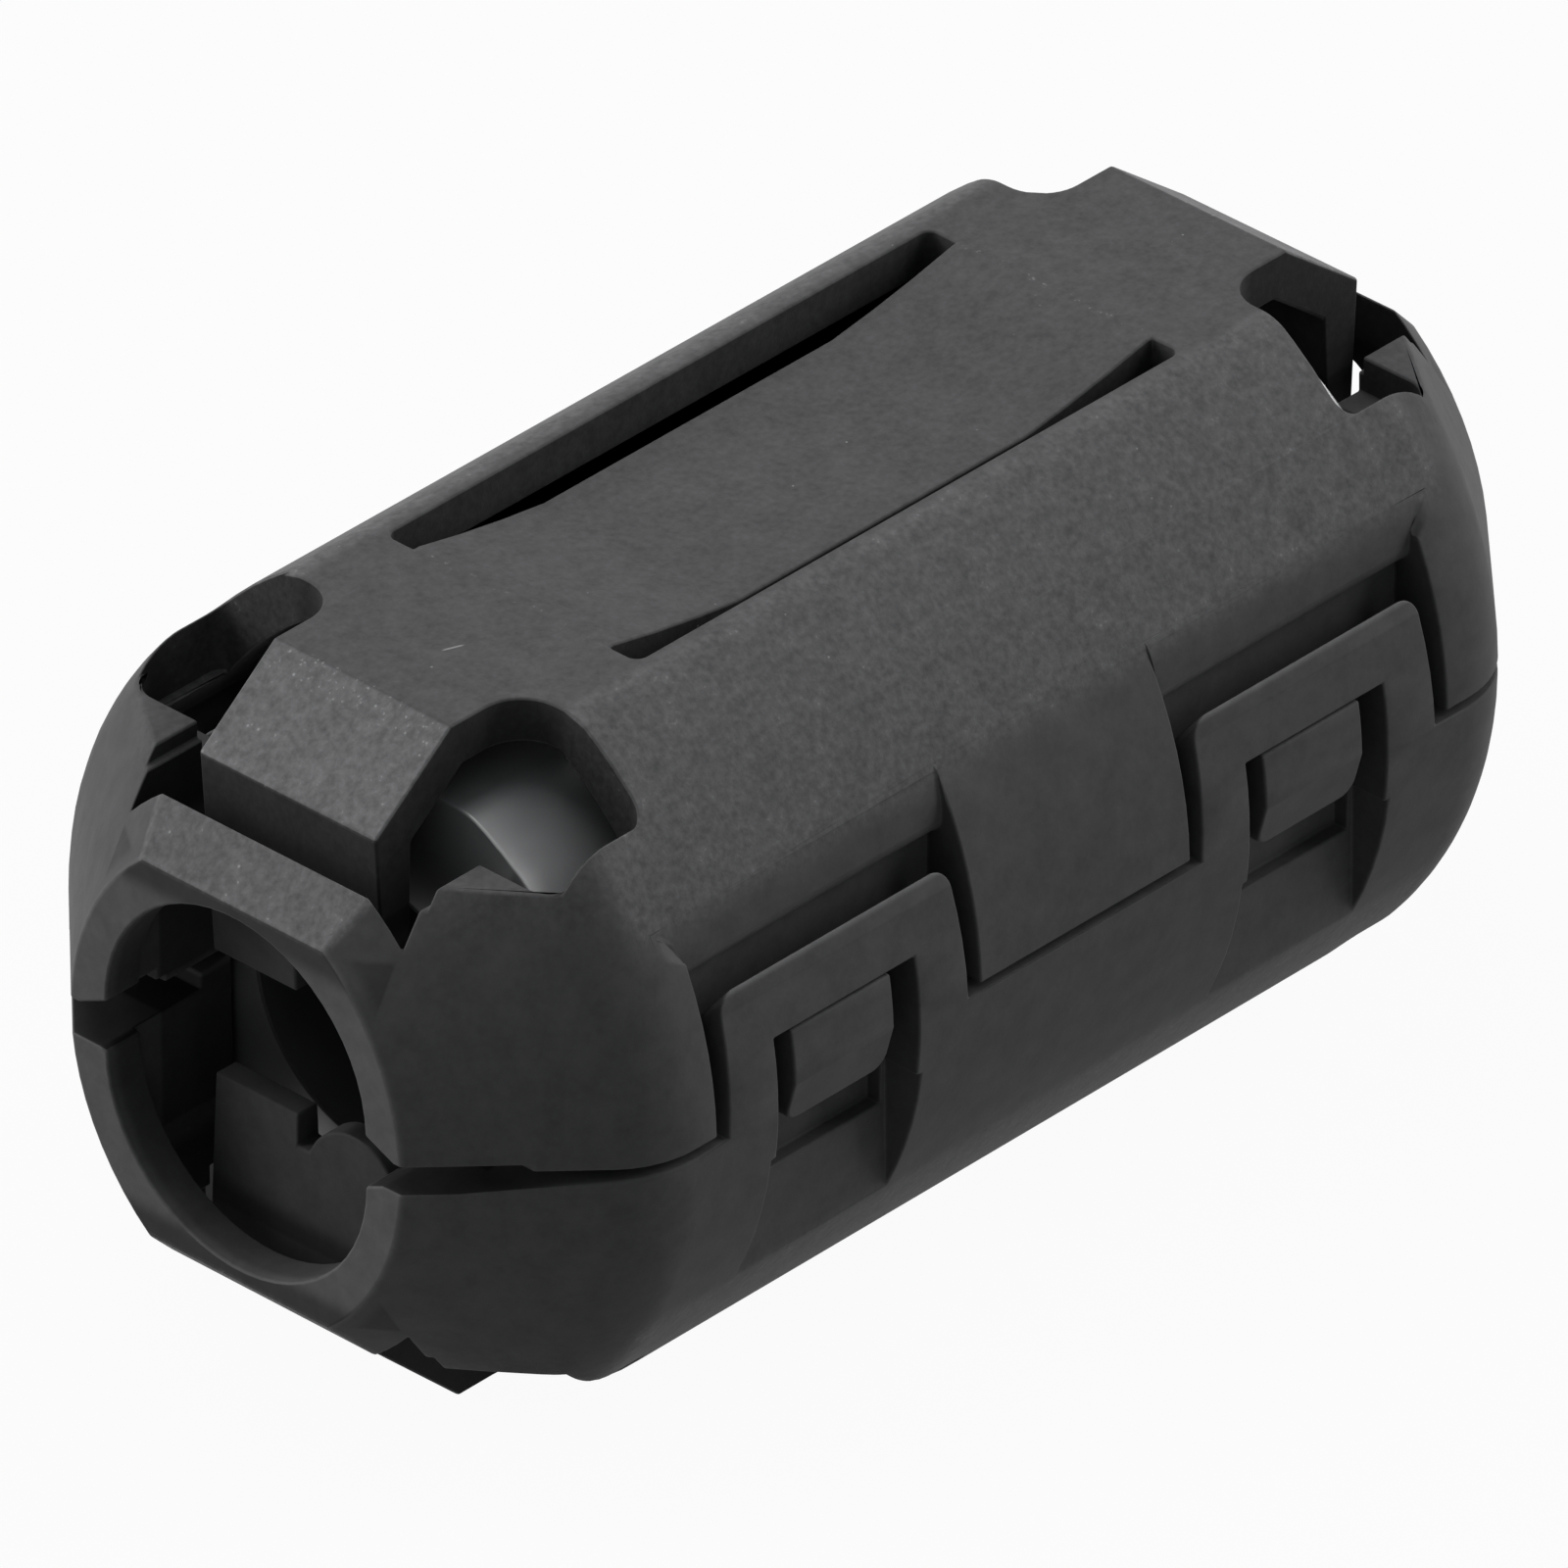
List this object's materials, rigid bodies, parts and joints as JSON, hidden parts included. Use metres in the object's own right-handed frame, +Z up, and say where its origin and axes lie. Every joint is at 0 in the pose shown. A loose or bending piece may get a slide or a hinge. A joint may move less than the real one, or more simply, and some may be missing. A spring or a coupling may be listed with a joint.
{
  "type": "clip-on ferrite bead",
  "caption": "Clip-on cable ferrite: a hinged nylon case with crowned sides, sprung cable fingers and two latches around a split ferrite core with a round cable bore.",
  "frame": {"origin": "middle of the cable bore, on the parting plane of the two halves", "axes": "X along the cable, -Y towards the latches, +Y towards the hinge, +Z up through the upper half"},
  "size_m": [0.025, 0.0135, 0.0124],
  "materials": {
    "case_nylon": "charcoal moulded nylon with a fine spark-eroded texture",
    "ferrite": "dark grey sintered ferrite, smooth and slightly satin"
  },
  "bodies": {
    "lower_half": {"case_lower": "case_nylon", "core_lower": "ferrite", "latch_loop_left": "case_nylon", "latch_loop_right": "case_nylon", "hinge_web_left": "case_nylon", "hinge_web_right": "case_nylon"},
    "upper_half": {"case_upper": "case_nylon", "core_upper": "ferrite"}
  },
  "joints": [
    {"name": "case_hinge", "type": "hinge", "parent": "lower_half", "child": "upper_half", "pos_m": [0, 0.00704, 0], "axis": [-1, 0, 0], "range_deg": [0, 175], "deforming": ["latch_loop_left", "latch_loop_right", "hinge_web_left", "hinge_web_right"]}
  ]
}
